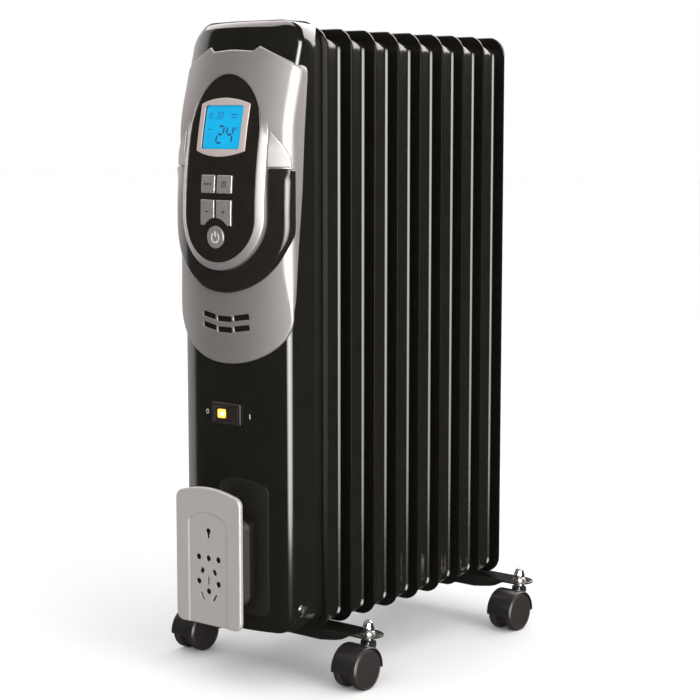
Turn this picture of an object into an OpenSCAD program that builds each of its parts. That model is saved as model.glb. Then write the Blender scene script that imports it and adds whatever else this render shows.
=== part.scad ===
// Oil filled radiator heater on four twin-wheel casters.
// +Z up, controls face -Y, origin on the floor under the middle of the overall box. Millimetres.

/* [Radiator] */
// Number of oil filled fins
fin_count = 9; // [5:1:13]
// Distance from one fin to the next
fin_pitch = 36.9; // [32:0.1:44]
// Width of a fin across the heater
fin_w = 150; // [130:1:170]
// Height of a fin
fin_h = 583.5; // [520:0.5:640]
// Height of the fins' lower edge above the floor
fin_z = 50.5; // [50:0.5:70]
// Corner radius of a fin
fin_r = 19; // [10:1:30]
// Thickness of the two welded sheets at a fin's rim
fin_t = 2.2; // [1.6:0.1:3]
// Depth of the folded side wing of a fin
wing_d = 19.5; // [12:0.5:26]

/* [Control housing] */
// Width of the housing
house_w = 138; // [120:1:144]
// Height of the housing's top above the floor
house_top = 640; // [600:1:700]
// Depth of the housing's flat side
house_d = 44.6; // [35:0.1:60]
// Radius of the bowed front, seen from above
bow_r = 157; // [140:1:240]
// Sheet thickness of the housing
house_t = 2; // [1.2:0.1:3]

/* [Controls] */
// Half width of the control panel
panel_hw = 44.5; // [38:0.5:50]
// Width of the metal collar round the panel
collar_w = 7.5; // [4:0.5:10]
// Half width of the grab handle
handle_hw = 72.6; // [70:0.2:74]
// Travel of a key
key_travel = 0.8; // [0.3:0.1:1.2]
// Gap round a key
key_gap = 0.4; // [0.3:0.05:0.8]
// Angle between the rocker's two positions
rocker_swing = 14; // [10:1:18]

/* [Cord store] */
// Distance of the plate's front face in front of the housing's corner line
plate_out = 45; // [38:0.5:60]
// Half width of the plate
plate_hw = 42; // [36:1:48]

/* [Casters] */
// Radius of a wheel
wheel_r = 20; // [18:0.5:21]
// Thickness of a wheel
wheel_t = 8.5; // [6:0.5:10]
// Distance from the swivel axis back to the axle
trail = 18; // [16:0.5:20]
// Half distance between left and right swivel axes
stem_x = 107; // [100:1:120]
// Radius of a caster's stem
stem_r = 3.5; // [3:0.1:4]

/* [Hidden] */
$fn = 64;

run = 0.05;                                   // radial clearance of a running fit
fin_1_y = house_d + 0.6 + fin_t / 2;          // plane of the first fin, behind the housing
last_fin_y = fin_1_y + (fin_count - 1) * fin_pitch;
rear_reach = 14.5;                            // filler plug behind the last fin
front_y = -(last_fin_y + rear_reach - plate_out) / 2;

channel_t = 6;                                // oil channel across both sheets
channel_w = 20;
header_z = [fin_z + 45, fin_z + fin_h - 45];
header_bore = 20;
header_wall = 6;

bow_y = sqrt(bow_r * bow_r - house_w * house_w / 4);   // centre of the bowed front
lean_z = 525;                                 // the front leans back above this height
lean_r = 290;
lean_end_z = 595;                             // and is straight from here to the top
house_z = 56;

foot_z = fin_z - 0.4;                         // top of the foot bars
foot_t = 2;
foot_w = 30;
skirt_x = [58, 78, 85, 96];                   // where the bars' side flanges get shallower
skirt_h = [12, 9, 7, 2];
stem_y = [68.6, 334.4];
clamp_y = [66, 330];
clamp_x = header_bore + header_wall + 3.4;
wheel_in = 6;                                 // inner face of a wheel from the caster's middle
hood_gap = 0.8;
hood_t = 2;
axle_r = 2.5;

chin_z = 364;                                 // the fascia's chin starts here and ends at its tip
chin_tip_z = 316;
keys_z = 487.3;
lower_keys_z = 460.5;
power_z = 437.5;
key_w = 18;
key_x = 10.4;
power_r = 10.6;
lcd_z = 540.5;
rocker_z = 267;
store_z = 123;                                // middle of the cord spool
spool_w = 52;
plate_t = 4.5;
recess_d = 2.2;
rocker_half = 13.5;
rocker_pivot_y = 3;

// ---- curves of the front ----

function lean(z) = z < lean_z ? 0
    : z > lean_end_z ? lean(lean_end_z) + (z - lean_end_z) * (lean_end_z - lean_z) / lean_r
    : lean_r - sqrt(lean_r * lean_r - (z - lean_z) * (z - lean_z));
function ease(t) = t <= 0 ? 0 : t >= 1 ? 1 : t * t * (3 - 2 * t);
function house_rad(z) = bow_r - lean(z);
function fascia_rad(z) = house_rad(z) + 1.5 + 3.5 * ease((z - 316) / 110) * (1 - ease((z - 535) / 55));
function panel_rad(z) = bow_r + 13.5 - (z < 450 ? 0 : 477 - sqrt(477 * 477 - (z - 450) * (z - 450)));
function handle_rad(z) = fascia_rad(z) + 3.2;
function steps(a, b, n) = [for (i = [0 : n]) a + (b - a) * i / n];

module at_front() {
    translate([0, front_y, 0]) children();
}

// Solid of revolution about the bow's axis, bounded by the outer curve minus an inset
module bowed(which, inset, z0, z1, n = 12) {
    pts = [for (z = steps(z0, z1, n))
        [(which == "house" ? house_rad(z) : which == "fascia" ? fascia_rad(z)
          : which == "panel" ? panel_rad(z) : handle_rad(z)) - inset, z]];
    translate([0, bow_y, 0])
        rotate_extrude($fn = 180) polygon(concat([[60, z0]], pts, [[60, z1]]));
}

// Extrusion along Y of an outline drawn in X and Z
module along_y(y0, y1) {
    translate([0, y1, 0]) rotate([90, 0, 0]) linear_extrude(y1 - y0) children();
}

// Extrusion along X of an outline drawn in Y and Z
module along_x(x0, x1) {
    translate([x0, 0, 0]) rotate([90, 0, 90]) linear_extrude(x1 - x0) children();
}

module box(a, b) {
    translate(a) cube(b - a);
}

module rounded(w, h, r) {
    square([w - 2 * r, h], center = true);
    square([w, h - 2 * r], center = true);
    for (x = [-1, 1], y = [-1, 1])
        translate([x * (w / 2 - r), y * (h / 2 - r)]) circle(r);
}

// ---- radiator ----

module fin_outline() {
    translate([0, fin_z + fin_h / 2]) rounded(fin_w, fin_h, fin_r);
}

module channel_outline() {
    for (z = header_z) translate([0, z]) rounded(116, 62, 26);
    for (x = [-1.5, -0.5, 0.5, 1.5])
        translate([x * (channel_w + 9), fin_z + fin_h / 2]) square([channel_w, fin_h - 120], center = true);
}

module wing(side) {
    zc = fin_z + fin_h / 2;
    h = fin_h - 24;
    along_x(side > 0 ? fin_w / 2 - fin_t / 2 : -fin_w / 2, side > 0 ? fin_w / 2 : -fin_w / 2 + fin_t / 2)
        difference() {
            translate([wing_d / 2, zc]) square([wing_d, h], center = true);
            for (s = [-1, 1]) translate([wing_d - 14, zc + s * (h / 2 - 14)])
                difference() {
                    translate([0, s > 0 ? 0 : -14.1]) square([14.1, 14.1]);
                    circle(14);
                }
        }
}

module fin(i) {
    color("#17150f") at_front() translate([0, fin_1_y + (i - 1) * fin_pitch, 0])
        difference() {
            union() {
                along_y(-fin_t / 2, fin_t / 2) fin_outline();
                along_y(-channel_t / 2, channel_t / 2) channel_outline();
                if (i < fin_count) for (s = [-1, 1]) wing(s);
            }
            for (z = header_z) along_y(-channel_t, channel_t) translate([0, z]) circle(header_bore);
        }
}

module header_rings(z) {
    color("#17150f") at_front() for (i = [1 : fin_count - 1])
        along_y(fin_1_y + (i - 1) * fin_pitch + channel_t / 2, fin_1_y + i * fin_pitch - channel_t / 2)
            translate([0, z]) difference() {
                circle(header_bore + header_wall);
                circle(header_bore);
            }
}

// Caps that close the two headers behind the last fin, and the upper header behind the controls
module header_caps() {
    color("#17150f") at_front() {
        for (i = [0, 1])
            translate([0, last_fin_y + channel_t / 2, header_z[i]]) rotate([-90, 0, 0]) difference() {
                rotate_extrude() polygon([[0, 0], [26, 0], [26, 3], [22, 5.5], [0, 6.5]]);
                if (i == 1) translate([0, 0, -1]) cylinder(r = 7, h = 10);
            }
        along_y(fin_1_y - channel_t / 2 - 3, fin_1_y - channel_t / 2) translate([0, header_z[1]]) circle(24);
    }
}

module filler_plug() {
    y = last_fin_y + channel_t / 2;
    color("#8f8a82") at_front() translate([0, y, header_z[1]]) rotate([-90, 0, 0]) {
        cylinder(r = 7, h = 6.5);
        translate([0, 0, 6.5]) cylinder(r = 8, h = rear_reach - channel_t / 2 - 6.5, $fn = 6);
    }
}

module element_flange() {
    y = fin_1_y - channel_t / 2;
    color("#a9a49b") at_front() along_y(y - 6, y) translate([0, header_z[0]]) difference() {
        circle(26);
        for (x = [-8, 8], z = [-8, 8]) translate([x, z]) circle(4.1);
    }
}

module heating_elements() {
    y0 = fin_1_y - channel_t / 2 - 16;
    y1 = last_fin_y - 40;
    color("#b5aea4") at_front() for (z = [-8, 8]) translate([0, 0, header_z[0] + z]) {
        for (x = [-8, 8]) translate([x, y0, 0]) rotate([-90, 0, 0]) cylinder(r = 4, h = y1 - y0);
        translate([0, y1, 0]) rotate_extrude(angle = 180) translate([8, 0]) circle(4);
    }
}

module thermal_cutout() {
    color("#cfc8bd") at_front() translate([40, 32, header_z[0] + 34]) rotate([-90, 0, 0]) {
        cylinder(r = 8, h = 6);
        translate([-12, -4, 4]) cube([24, 8, 2]);
    }
}

// ---- housing ----

module house_outline(inset) {
    h = house_top - house_z;
    w = house_w / 2 - inset;
    r = 22 - inset;
    b = 17 - inset;
    translate([0, house_z + inset]) difference() {
        translate([-w, 0]) square([2 * w, h - 2 * inset]);
        for (s = [-1, 1]) {
            translate([s * (w - r), h - 2 * inset - r]) difference() {
                translate([s > 0 ? 0 : -r - 1, 0]) square([r + 1, r + 1]);
                circle(r);
            }
            translate([s * (w - b), b]) difference() {
                translate([s > 0 ? 0 : -b - 1, -b - 1]) square([b + 1, b + 1]);
                circle(b);
            }
        }
    }
}

module house_solid(inset, back) {
    intersection() {
        along_y(-60, back) house_outline(inset);
        union() {
            bowed("house", inset, house_z - 1, house_top + 1);
            box([-house_w, 30, house_z], [house_w, 60, house_top]);
        }
    }
}

module housing_shell() {
    color("#14120f") at_front() difference() {
        house_solid(0, house_d);
        house_solid(house_t, house_d + 5);
        box([-36, -40, 420], [36, 0, 574]);
        intersection() {
            along_y(-60, 0) panel_outline(0.6);
            box([-60, -60, 550], [60, 0, 610]);
        }
        box([-30, -40, 342], [30, 0, 366]);
        box([-16.6, -40, rocker_z - 9.1], [16.6, 0, rocker_z + 9.1]);
        translate([-35, 22, house_z - 1]) cylinder(r = 8, h = 5);
        for (s = [-1, 1]) translate([s * 18, 0, store_z]) rotate([90, 0, 0])
            cylinder(r = 2.1, h = 40, center = true);
    }
}

module housing_back() {
    color("#3a3835") at_front() difference() {
        along_y(38, 39.4) house_outline(house_t + 0.2);
        along_y(37, 41) {
            translate([0, header_z[0]]) circle(29);
            translate([0, header_z[1]]) circle(29);
            translate([40, header_z[0] + 34]) square([26, 18], center = true);
        }
    }
}

module top_cap() {
    color("#1b1815") at_front() translate([0, 36, house_top])
        linear_extrude(1.5) rounded(68, 15, 4);
}

// Front view of the fascia: elliptical chin, straight sides, notched top, and the panel's opening
module fascia_front() {
    hw = house_w / 2 + 3;
    difference() {
        polygon(concat(
            [for (a = [180 : 6 : 360]) [hw * cos(a), chin_z + (chin_z - chin_tip_z) * sin(a)]],
            [[hw, 599], [31, 616], [25, 611.5], [0, 613.5], [-25, 611.5], [-31, 616], [-hw, 599]]));
        panel_outline(0);
    }
}

// Oval of the control panel, grown outward by g
module panel_outline(g) {
    w = panel_hw + g;
    translate([0, 458]) circle(w, $fn = 96);
    translate([-w, 458]) square([2 * w, 74]);
    polygon([for (a = [0 : 7.5 : 180]) [w * cos(a), 532 + (58 + g) * sin(a)]]);
}

module fascia_side() {
    polygon([[-60, 300], [-2, 300], [-2, 362], [3, 379], [7, 427], [12.6, 479], [16, 536], [20.5, 585],
             [20.5, 640], [-60, 640]]);
}

// Raised shoulders of the fascia above the two arms of the handle
module shoulders() {
    intersection() {
        along_y(-60, 5) for (s = [-1, 1])
            polygon([[53 * s, 503.5], [72.4 * s, 503.5], [71.4 * s, 513], [66.5 * s, 523], [60 * s, 531],
                     [53 * s, 538.5]]);
        along_x(-90, 90) polygon([[-24, 503], [-18.5, 515], [-13.2, 538.5], [10, 538.5], [10, 503]]);
        bowed("handle", 0.2, 500, 540, 6);
    }
}

module fascia() {
    skin = 2.5;
    color("#a39c95") at_front() difference() {
        union() {
            intersection() {
                along_y(-60, 60) fascia_front();
                along_x(-90, 90) fascia_side();
                bowed("fascia", 0, 310, 640, 20);
            }
            shoulders();
        }
        house_solid(0, house_d);
        intersection() {
            bowed("fascia", skin, 300, 640, 20);
            along_y(-60, 60) translate([0, 478]) rounded(132, 236, 30);
        }
        vents();
    }
}

module vents() {
    for (row = [348.5, 359]) along_y(-40, 0) for (s = [-1, 0, 1])
        translate([s * 20.5, row + (s == 0 ? 0 : 2.4)]) rotate(s * 9) square([17, 5.4], center = true);
}

module panel_ring() {
    color("#b9b3ac") at_front() intersection() {
        along_y(-60, 0) difference() {
            panel_outline(collar_w);
            panel_outline(0);
        }
        difference() {
            bowed("panel", -0.8, 400, 600, 24);
            bowed("fascia", 0, 398, 602, 20);
        }
    }
}

module key_shape(kind, g) {
    if (kind == "mode" || kind == "timer")
        translate([(kind == "mode" ? -1 : 1) * key_x, keys_z])
            square([key_w + 2 * g, 17 + 2 * g], center = true);
    if (kind == "minus" || kind == "plus") difference() {
        translate([(kind == "minus" ? -1 : 1) * key_x, lower_keys_z])
            square([key_w + 2 * g, 24 + 2 * g], center = true);
        translate([0, power_z]) circle(power_r + 7.6 - g);
    }
    if (kind == "power") translate([0, power_z]) circle(power_r + g);
}

key_kinds = ["mode", "timer", "minus", "plus", "power"];

module lcd_outline(g) {
    intersection() {
        translate([0, lcd_z]) square([61 + 2 * g, 60], center = true);
        translate([0, lcd_z + 25.5 - 88]) circle(88 + g, $fn = 96);
        translate([0, lcd_z - 27 + 88]) circle(88 + g, $fn = 96);
    }
}

module lcd_view(g) {
    translate([0, lcd_z]) rounded(48 + 2 * g, 41 + 2 * g, 3);
}

module panel() {
    color("#1d1a18") at_front() difference() {
        intersection() {
            along_y(-60, 0) panel_outline(0);
            difference() {
                bowed("panel", 0, 400, 600, 24);
                bowed("panel", 3, 398, 602, 24);
            }
        }
        along_y(-60, 0) {
            for (k = key_kinds) key_shape(k, key_gap);
            lcd_outline(0.1);
        }
    }
}

module lcd_frame() {
    color("#c2bcb4") at_front() intersection() {
        along_y(-60, 0) difference() {
            lcd_outline(0);
            lcd_view(0.1);
        }
        difference() {
            bowed("panel", -0.4, 500, 580, 12);
            bowed("panel", 3, 499, 581, 12);
        }
    }
}

module lcd_window() {
    color("#27b4e8") at_front() intersection() {
        along_y(-60, 0) lcd_view(0);
        difference() {
            bowed("panel", 1, 500, 580, 12);
            bowed("panel", 2.6, 499, 581, 12);
        }
    }
}

module lcd_module() {
    color("#d8d4c8") at_front() along_x(-26, 26)
        polygon([[-19.5, lcd_z - 23], [-12.5, lcd_z - 23], [-6.4, lcd_z + 23], [-10.4, lcd_z + 23]]);
}

module control_board() {
    color("#1f5a38") at_front() box([-32, -11.4, 424], [32, -9.8, lcd_z - 23.4]);
}

module tact_switches() {
    color("#26262a") at_front() for (p = [[-key_x, keys_z], [key_x, keys_z], [-key_x, lower_keys_z + 2.5],
                                          [key_x, lower_keys_z + 2.5], [0, power_z]])
        translate([p[0], 0, p[1]]) {
            box([-3, -14.9, -3], [3, -11.4, 3]);
            along_y(-16.2, -14.9) circle(1.7);
        }
}

module key(kind) {
    stem = kind == "power" ? [0, power_z]
        : kind == "mode" ? [-key_x, keys_z]
        : kind == "timer" ? [key_x, keys_z]
        : [kind == "minus" ? -key_x : key_x, lower_keys_z + 2.5];
    color("#9d978f") at_front() {
        intersection() {
            along_y(-60, -21.5) key_shape(kind, 0);
            bowed("panel", -1.1, 400, 600, 24);
        }
        along_y(-21.5, -16.2 - key_travel - 0.3) translate(stem) circle(3);
    }
}

module power_board() {
    color("#2b6b45") at_front() {
        box([-45, 16, 180], [45, 17.6, 300]);
        box([-30, 4, 200], [-8, 16, 228]);
        box([8, 2, 200], [24, 16, 218]);
        box([-24, 6, 238], [20, 16, 252]);
    }
}

module handle_outline() {
    difference() {
        union() {
            polygon([for (a = [180 : 7.5 : 360]) [handle_hw * cos(a), 449 + 65 * sin(a)]]);
            translate([-handle_hw, 448.9]) square([2 * handle_hw, 54]);
        }
        panel_outline(collar_w + 1);
        translate([-52.7, 458]) square([105.4, 60]);
    }
}

module handle() {
    color("#171411") at_front() intersection() {
        along_y(-60, 10) handle_outline();
        difference() {
            bowed("handle", 0, 380, 505, 12);
            bowed("fascia", 0, 378, 507, 12);
        }
    }
}

module front_screws() {
    color("#8a857d") at_front() {
        for (s = [-1, 1]) translate([s * 18, -8, store_z]) rotate([90, 0, 0]) {
            cylinder(r = 2, h = 12);
            translate([0, 0, 12]) cylinder(r = 4, h = 2.4);
        }
    }
}

module vent_screen() {
    color("#0c0b0a") at_front() box([-31, -10.6, 340], [31, -9.6, 368]);
}

// ---- rocker switch ----

module rocker_bezel() {
    front = bow_y - bow_r;
    color("#15130f") at_front() difference() {
        union() {
            box([-18.5, front - 1.6, rocker_z - 10.5], [18.5, front + 0.6, rocker_z + 10.5]);
            box([-16.5, front, rocker_z - 9], [16.5, front + 22, rocker_z + 9]);
        }
        box([-rocker_half - 1.4, front - 5, rocker_z - 7.6], [rocker_half + 1.4, front + 14, rocker_z + 7.6]);
        translate([0, front + rocker_pivot_y, rocker_z]) cylinder(r = 1.4 + run, h = 18.4, center = true);
        difference() {
            box([-19, front - 0.01, rocker_z - 11], [19, front + 1, rocker_z + 11]);
            box([-16.5, front - 1, rocker_z - 9], [16.5, front + 2, rocker_z + 9]);
        }
    }
}

module rocker() {
    front = bow_y - bow_r;
    color("#1a1714") at_front() translate([0, front + rocker_pivot_y, rocker_z]) rotate(rocker_swing / 2) {
        linear_extrude(14.6, center = true)
            polygon([[-rocker_half, -5], [0, -3.2], [rocker_half, -5], [rocker_half, 0.5], [5, 6], [-5, 6],
                     [-rocker_half, 0.5]]);
        cylinder(r = 1.4, h = 17.6, center = true);
    }
}

// ---- cord store ----

module plate_outline() {
    intersection() {
        translate([0, store_z + 13.5]) rounded(2 * plate_hw, 145, 8);
        translate([0, store_z - 34]) circle(110, $fn = 128);
    }
}

module slot(x, z, l, w, a) {
    translate([x, z]) rotate(a) square([w, l], center = true);
}

// Keyhole, round holes and slits that the plug's pins park in
module parking_holes() {
    translate([0, store_z + 33.5]) circle(3);
    slot(0, store_z + 29.5, 6, 2.4, 0);
    for (p = [[-12.7, 7], [12.7, 7], [0, 7], [-12.7, -17], [12.7, -17], [0, -25.5]])
        translate([p[0], store_z + p[1]]) circle(2.5);
    for (s = [-1, 1]) {
        slot(s * 8, store_z - 6, 5, 3.4, s * 28);
        slot(s * 8, store_z - 30, 8, 1.8, -s * 30);
    }
    slot(0, store_z - 15, 8, 1.6, 0);
}

// Arched recess in the plate's front, open at the lower edge
module plate_recess() {
    intersection() {
        translate([-25, store_z - 60]) square([50, 114]);
        translate([0, store_z + 16]) union() {
            circle(36);
            translate([-36, -80]) square([72, 80]);
        }
    }
}

module cord_plate() {
    y = -plate_out;
    color("#a8a29b") at_front() difference() {
        along_y(y, y + plate_t) plate_outline();
        along_y(y - 1, y + recess_d) plate_recess();
        along_y(y - 1, y + plate_t + 1) parking_holes();
    }
}

module cord_spool() {
    y0 = -plate_out + plate_t;
    color("#4a4541") at_front() difference() {
        along_y(y0, 0) translate([0, store_z]) rounded(spool_w, 84, 9);
        along_y(y0 - 1, -18) translate([0, store_z]) rounded(spool_w - 6, 78, 6);
        house_solid(0, house_d);
        for (s = [-1, 1]) translate([s * 18, 0, store_z]) rotate([90, 0, 0])
            cylinder(r = 2.1, h = 60, center = true);
    }
}

module cord_gland() {
    color("#100f0d") at_front() translate([-35, 22, house_z]) rotate_extrude()
        polygon([[3.6, -3], [10, -3], [10, 0], [7.9, 0], [7.9, 2.2], [9.5, 2.2], [9.5, 6], [3.6, 6]]);
}

module tip_over_switch() {
    color("#d9d3c4") at_front() {
        box([14, 14, house_z + 2], [34, 30, house_z + 30]);
        translate([24, 22, house_z + 30]) cylinder(r = 6, h = 4);
    }
}

module screw_head() {
    rotate_extrude() polygon([[0, 0], [3.4, 0], [2.6, 1.3], [0, 1.7]]);
}

// Two screws low on the sides and two under the housing
module housing_screws() {
    color("#6c6862") at_front() for (s = [-1, 1]) {
        translate([s * house_w / 2, 12, 80]) rotate([0, s * 90, 0]) screw_head();
        translate([s * 46, 30, house_z]) rotate([180, 0, 0]) screw_head();
    }
}

// ---- feet ----

module foot_bar(i) {
    y = stem_y[i];
    color("#191613") at_front() difference() {
        union() {
            translate([0, y, foot_z - foot_t]) linear_extrude(foot_t) {
                square([2 * stem_x, foot_w], center = true);
                for (s = [-1, 1]) translate([s * stem_x, 0]) circle(foot_w / 2);
            }
            for (s = [-1, 1]) translate([0, y + s * (foot_w - foot_t) / 2, 0])
                along_y(-foot_t / 2, foot_t / 2) polygon(concat(
                    [for (k = [3 : -1 : 0]) [-skirt_x[k], foot_z - skirt_h[k]]],
                    [for (k = [0 : 3]) [skirt_x[k], foot_z - skirt_h[k]]]));
        }
        for (s = [-1, 1]) {
            translate([s * stem_x, y, 0]) cylinder(r = stem_r + 0.1, h = 100);
            translate([s * clamp_x, clamp_y[i], 0]) cylinder(r = 3.1, h = 100);
        }
    }
}

module foot_clamps() {
    low = foot_z - 14;
    color("#9b958c") at_front() for (i = [0, 1]) translate([0, clamp_y[i], 0]) {
        for (s = [-1, 1]) {
            translate([s * clamp_x, 0, low]) cylinder(r = 3, h = header_z[0] - low);
            translate([s * clamp_x, 0, foot_z - foot_t - 4]) difference() {
                cylinder(r = 6, h = 4);
                translate([0, 0, -1]) cylinder(r = 3, h = 6);
            }
            for (t = [-1, 1]) translate([s * clamp_x + t * 8, 0, foot_z - foot_t - 5]) rotate([90, 0, 0])
                cylinder(r = 3.2, h = 1.6, center = true);
        }
        translate([0, 0, header_z[0]]) rotate([90, 0, 0]) rotate_extrude(angle = 180)
            translate([clamp_x, 0]) circle(3);
    }
}

module at_stems() {
    at_front() for (y = stem_y, s = [-1, 1]) translate([s * stem_x, y, 0]) children();
}

module caster_stems() {
    low = wheel_r + 4;
    color("#d6d3cd") at_stems() translate([0, 0, low]) cylinder(r = stem_r, h = foot_z + 9 - low);
}

module stem_nuts() {
    color("#cdc9c2") at_stems() {
        translate([0, 0, foot_z - foot_t - 4]) difference() {
            cylinder(r = 5.6, h = 4, $fn = 6);
            translate([0, 0, -1]) cylinder(r = stem_r, h = 6, $fn = 32);
        }
        translate([0, 0, foot_z]) difference() {
            rotate_extrude() polygon([[0, 0], [8, 0], [8, 1.4], [6.6, 1.4], [6.6, 3], [5.6, 3], [5.6, 9],
                                      [5, 11], [3.2, 12.6], [0, 13.4]]);
            translate([0, 0, -1]) cylinder(r = stem_r, h = 10);
        }
    }
}

// Moves its children to the swivel axis of a caster: i 0 front, 1 rear, side -1 left, 1 right
module at_caster(i, side) {
    at_front() translate([side * stem_x, stem_y[i], 0]) children();
}

module across(x0, x1) {
    translate([x0, 0, 0]) rotate([90, 0, 90]) linear_extrude(x1 - x0) children();
}

module caster_hood(i, side) {
    half = wheel_in + wheel_t + 0.4;
    web = wheel_in - 0.5;
    color("#211d1b") at_caster(i, side) difference() {
        union() {
            across(-web, web) union() {
                translate([-trail, wheel_r]) circle(wheel_r - 2.5);
                translate([-trail, wheel_r]) square([trail + 5.6, wheel_r]);
            }
            across(-half, half) translate([-trail, wheel_r]) intersection() {
                difference() {
                    circle(wheel_r + hood_gap + hood_t);
                    circle(wheel_r + hood_gap);
                }
                translate([-wheel_r - 5, 1]) square([2 * wheel_r + 10, wheel_r + 5]);
            }
            translate([0, 0, wheel_r + 18]) cylinder(r = 7, h = 5.6);
            translate([-half, -trail, wheel_r]) rotate([0, 90, 0]) cylinder(r = axle_r, h = 2 * half);
        }
        translate([0, 0, wheel_r + 3.7]) cylinder(r = stem_r + run, h = 30);
        for (s = [-1, 1]) translate([s * (wheel_in + wheel_t / 2), -trail, wheel_r]) rotate([0, 90, 0])
            difference() {
                cylinder(r = wheel_r + hood_gap, h = wheel_t + 0.9, center = true);
                cylinder(r = axle_r, h = wheel_t + 2, center = true);
            }
    }
}

// One of the two wheels of a caster: turn -1 the left one, 1 the right one
module caster_wheel(i, side, turn) {
    bore = axle_r + run + 0.01;
    color("#2b2523") at_caster(i, side)
        translate([turn * (wheel_in + wheel_t / 2), -trail, wheel_r]) rotate([0, turn * 90, 0])
            rotate_extrude($fn = 96)
                polygon([[bore, -wheel_t / 2], [wheel_r - 1, -wheel_t / 2], [wheel_r, 1 - wheel_t / 2],
                         [wheel_r, wheel_t / 2 - 1.2], [wheel_r - 1.2, wheel_t / 2], [bore, wheel_t / 2]]);
}

fin(1);  // fin_1
fin(2);  // fin_2
fin(3);  // fin_3
fin(4);  // fin_4
fin(5);  // fin_5
fin(6);  // fin_6
fin(7);  // fin_7
fin(8);  // fin_8
fin(9);  // fin_9
header_rings(header_z[1]);  // header_rings_top
header_rings(header_z[0]);  // header_rings_bottom
header_caps();
filler_plug();
element_flange();
heating_elements();
thermal_cutout();
housing_shell();
housing_back();
top_cap();
fascia();
panel();
panel_ring();
lcd_frame();
lcd_window();
lcd_module();
control_board();
tact_switches();
power_board();
handle();
front_screws();
vent_screen();
rocker_bezel();
cord_plate();
cord_spool();
cord_gland();
tip_over_switch();
housing_screws();
foot_bar(0);  // foot_bar_front
foot_bar(1);  // foot_bar_rear
foot_clamps();
caster_stems();
stem_nuts();
key("mode");  // key_mode
key("timer");  // key_timer
key("minus");  // key_minus
key("plus");  // key_plus
key("power");  // key_power
rocker();
caster_hood(0, -1);  // caster_hood_fl
caster_hood(0, 1);  // caster_hood_fr
caster_hood(1, -1);  // caster_hood_rl
caster_hood(1, 1);  // caster_hood_rr
caster_wheel(0, -1, -1);  // wheel_fl_left
caster_wheel(0, -1, 1);  // wheel_fl_right
caster_wheel(0, 1, -1);  // wheel_fr_left
caster_wheel(0, 1, 1);  // wheel_fr_right
caster_wheel(1, -1, -1);  // wheel_rl_left
caster_wheel(1, -1, 1);  // wheel_rl_right
caster_wheel(1, 1, -1);  // wheel_rr_left
caster_wheel(1, 1, 1);  // wheel_rr_right
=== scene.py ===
import math

import bmesh
import bpy
from mathutils import Matrix, Vector


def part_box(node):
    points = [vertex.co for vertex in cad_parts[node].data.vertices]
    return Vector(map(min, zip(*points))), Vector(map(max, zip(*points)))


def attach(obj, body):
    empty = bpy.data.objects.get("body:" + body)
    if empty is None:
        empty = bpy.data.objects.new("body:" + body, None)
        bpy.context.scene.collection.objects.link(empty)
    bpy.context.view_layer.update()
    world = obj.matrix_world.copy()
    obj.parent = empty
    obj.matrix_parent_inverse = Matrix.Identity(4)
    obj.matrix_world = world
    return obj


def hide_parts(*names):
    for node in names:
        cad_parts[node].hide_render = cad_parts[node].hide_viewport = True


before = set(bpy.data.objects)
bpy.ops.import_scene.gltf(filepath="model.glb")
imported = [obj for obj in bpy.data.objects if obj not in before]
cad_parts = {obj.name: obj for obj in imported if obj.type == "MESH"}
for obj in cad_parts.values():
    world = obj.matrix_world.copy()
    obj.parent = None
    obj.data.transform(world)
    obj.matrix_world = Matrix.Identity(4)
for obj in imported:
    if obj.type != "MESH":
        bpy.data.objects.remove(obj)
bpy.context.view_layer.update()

# Sizes are in millimetres. Y is counted from the housing's front corner line, and positive is backwards.
MM = 0.001
SHELL_LO, SHELL_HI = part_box("housing_shell")
HOUSE_D = 44.6
FRONT = SHELL_HI.y / MM - HOUSE_D
HOUSE_HW = SHELL_HI.x / MM
HOUSE_TOP = SHELL_HI.z / MM
HOUSE_Z = SHELL_LO.z / MM
# The front is a shallow bow, BOW_R in radius. It leans back above LEAN_Z, and is straight above LEAN_END.
BOW_R = 157.0
BOW_Y = math.sqrt(BOW_R ** 2 - HOUSE_HW ** 2)
LEAN_Z = 525.0
LEAN_END = 595.0
LEAN_R = 290.0
# Control panel: half width, the collar round it, and the centres of its lower and upper round ends
PANEL_HW = 44.5
COLLAR = 7.5
OVAL_LOW = 458
OVAL_HIGH = 532
OVAL_RISE = 58
# The fascia's rounded chin, from its widest line down to its tip
CHIN_Z = 364.0
CHIN_TIP = 316.0


# Heights of the two rows of keys, of the power key, of the display and of the rocker, and the keys' sizes
KEYS_Z = 487.3
LOWER_Z = 460.5
POWER_Z = 437.5
KEY_W = 18.0
KEY_X = 10.4
POWER_R = 10.6
LCD_Z = 540.5
ROCKER_Z = 267.0
KEY_KINDS = ("mode", "timer", "minus", "plus", "power")
LCD_ARC = 88
LCD_HALF = 27.5


# ---------------------------------------------------------------- curves of the front

def ease(t):
    t = min(max(t, 0.0), 1.0)
    return t * t * (3 - 2 * t)


def lean(z):
    rise = min(max(z - LEAN_Z, 0.0), LEAN_END - LEAN_Z)
    straight = max(z - LEAN_END, 0.0) * (LEAN_END - LEAN_Z) / LEAN_R
    return LEAN_R - math.sqrt(LEAN_R ** 2 - rise ** 2) + straight


def fascia_rad(z):
    return BOW_R - lean(z) + 1.5 + 3.5 * ease((z - CHIN_TIP) / 110) * (1 - ease((z - 535) / 55))


def panel_rad(z):
    rise = max(z - 450, 0.0)
    return BOW_R + 13.5 - (477 - math.sqrt(477 ** 2 - rise ** 2))


def bow(radius, x):
    return BOW_Y - math.sqrt(radius ** 2 - x * x)


def house_y(x, z):
    return bow(BOW_R - lean(z), x)


def fascia_y(x, z):
    return bow(fascia_rad(z), x)


def panel_y(x, z):
    return bow(panel_rad(z), x)


def raised(surface, height):
    """The same surface moved towards the front by height."""
    return lambda x, z: surface(x, z) - height


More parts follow.
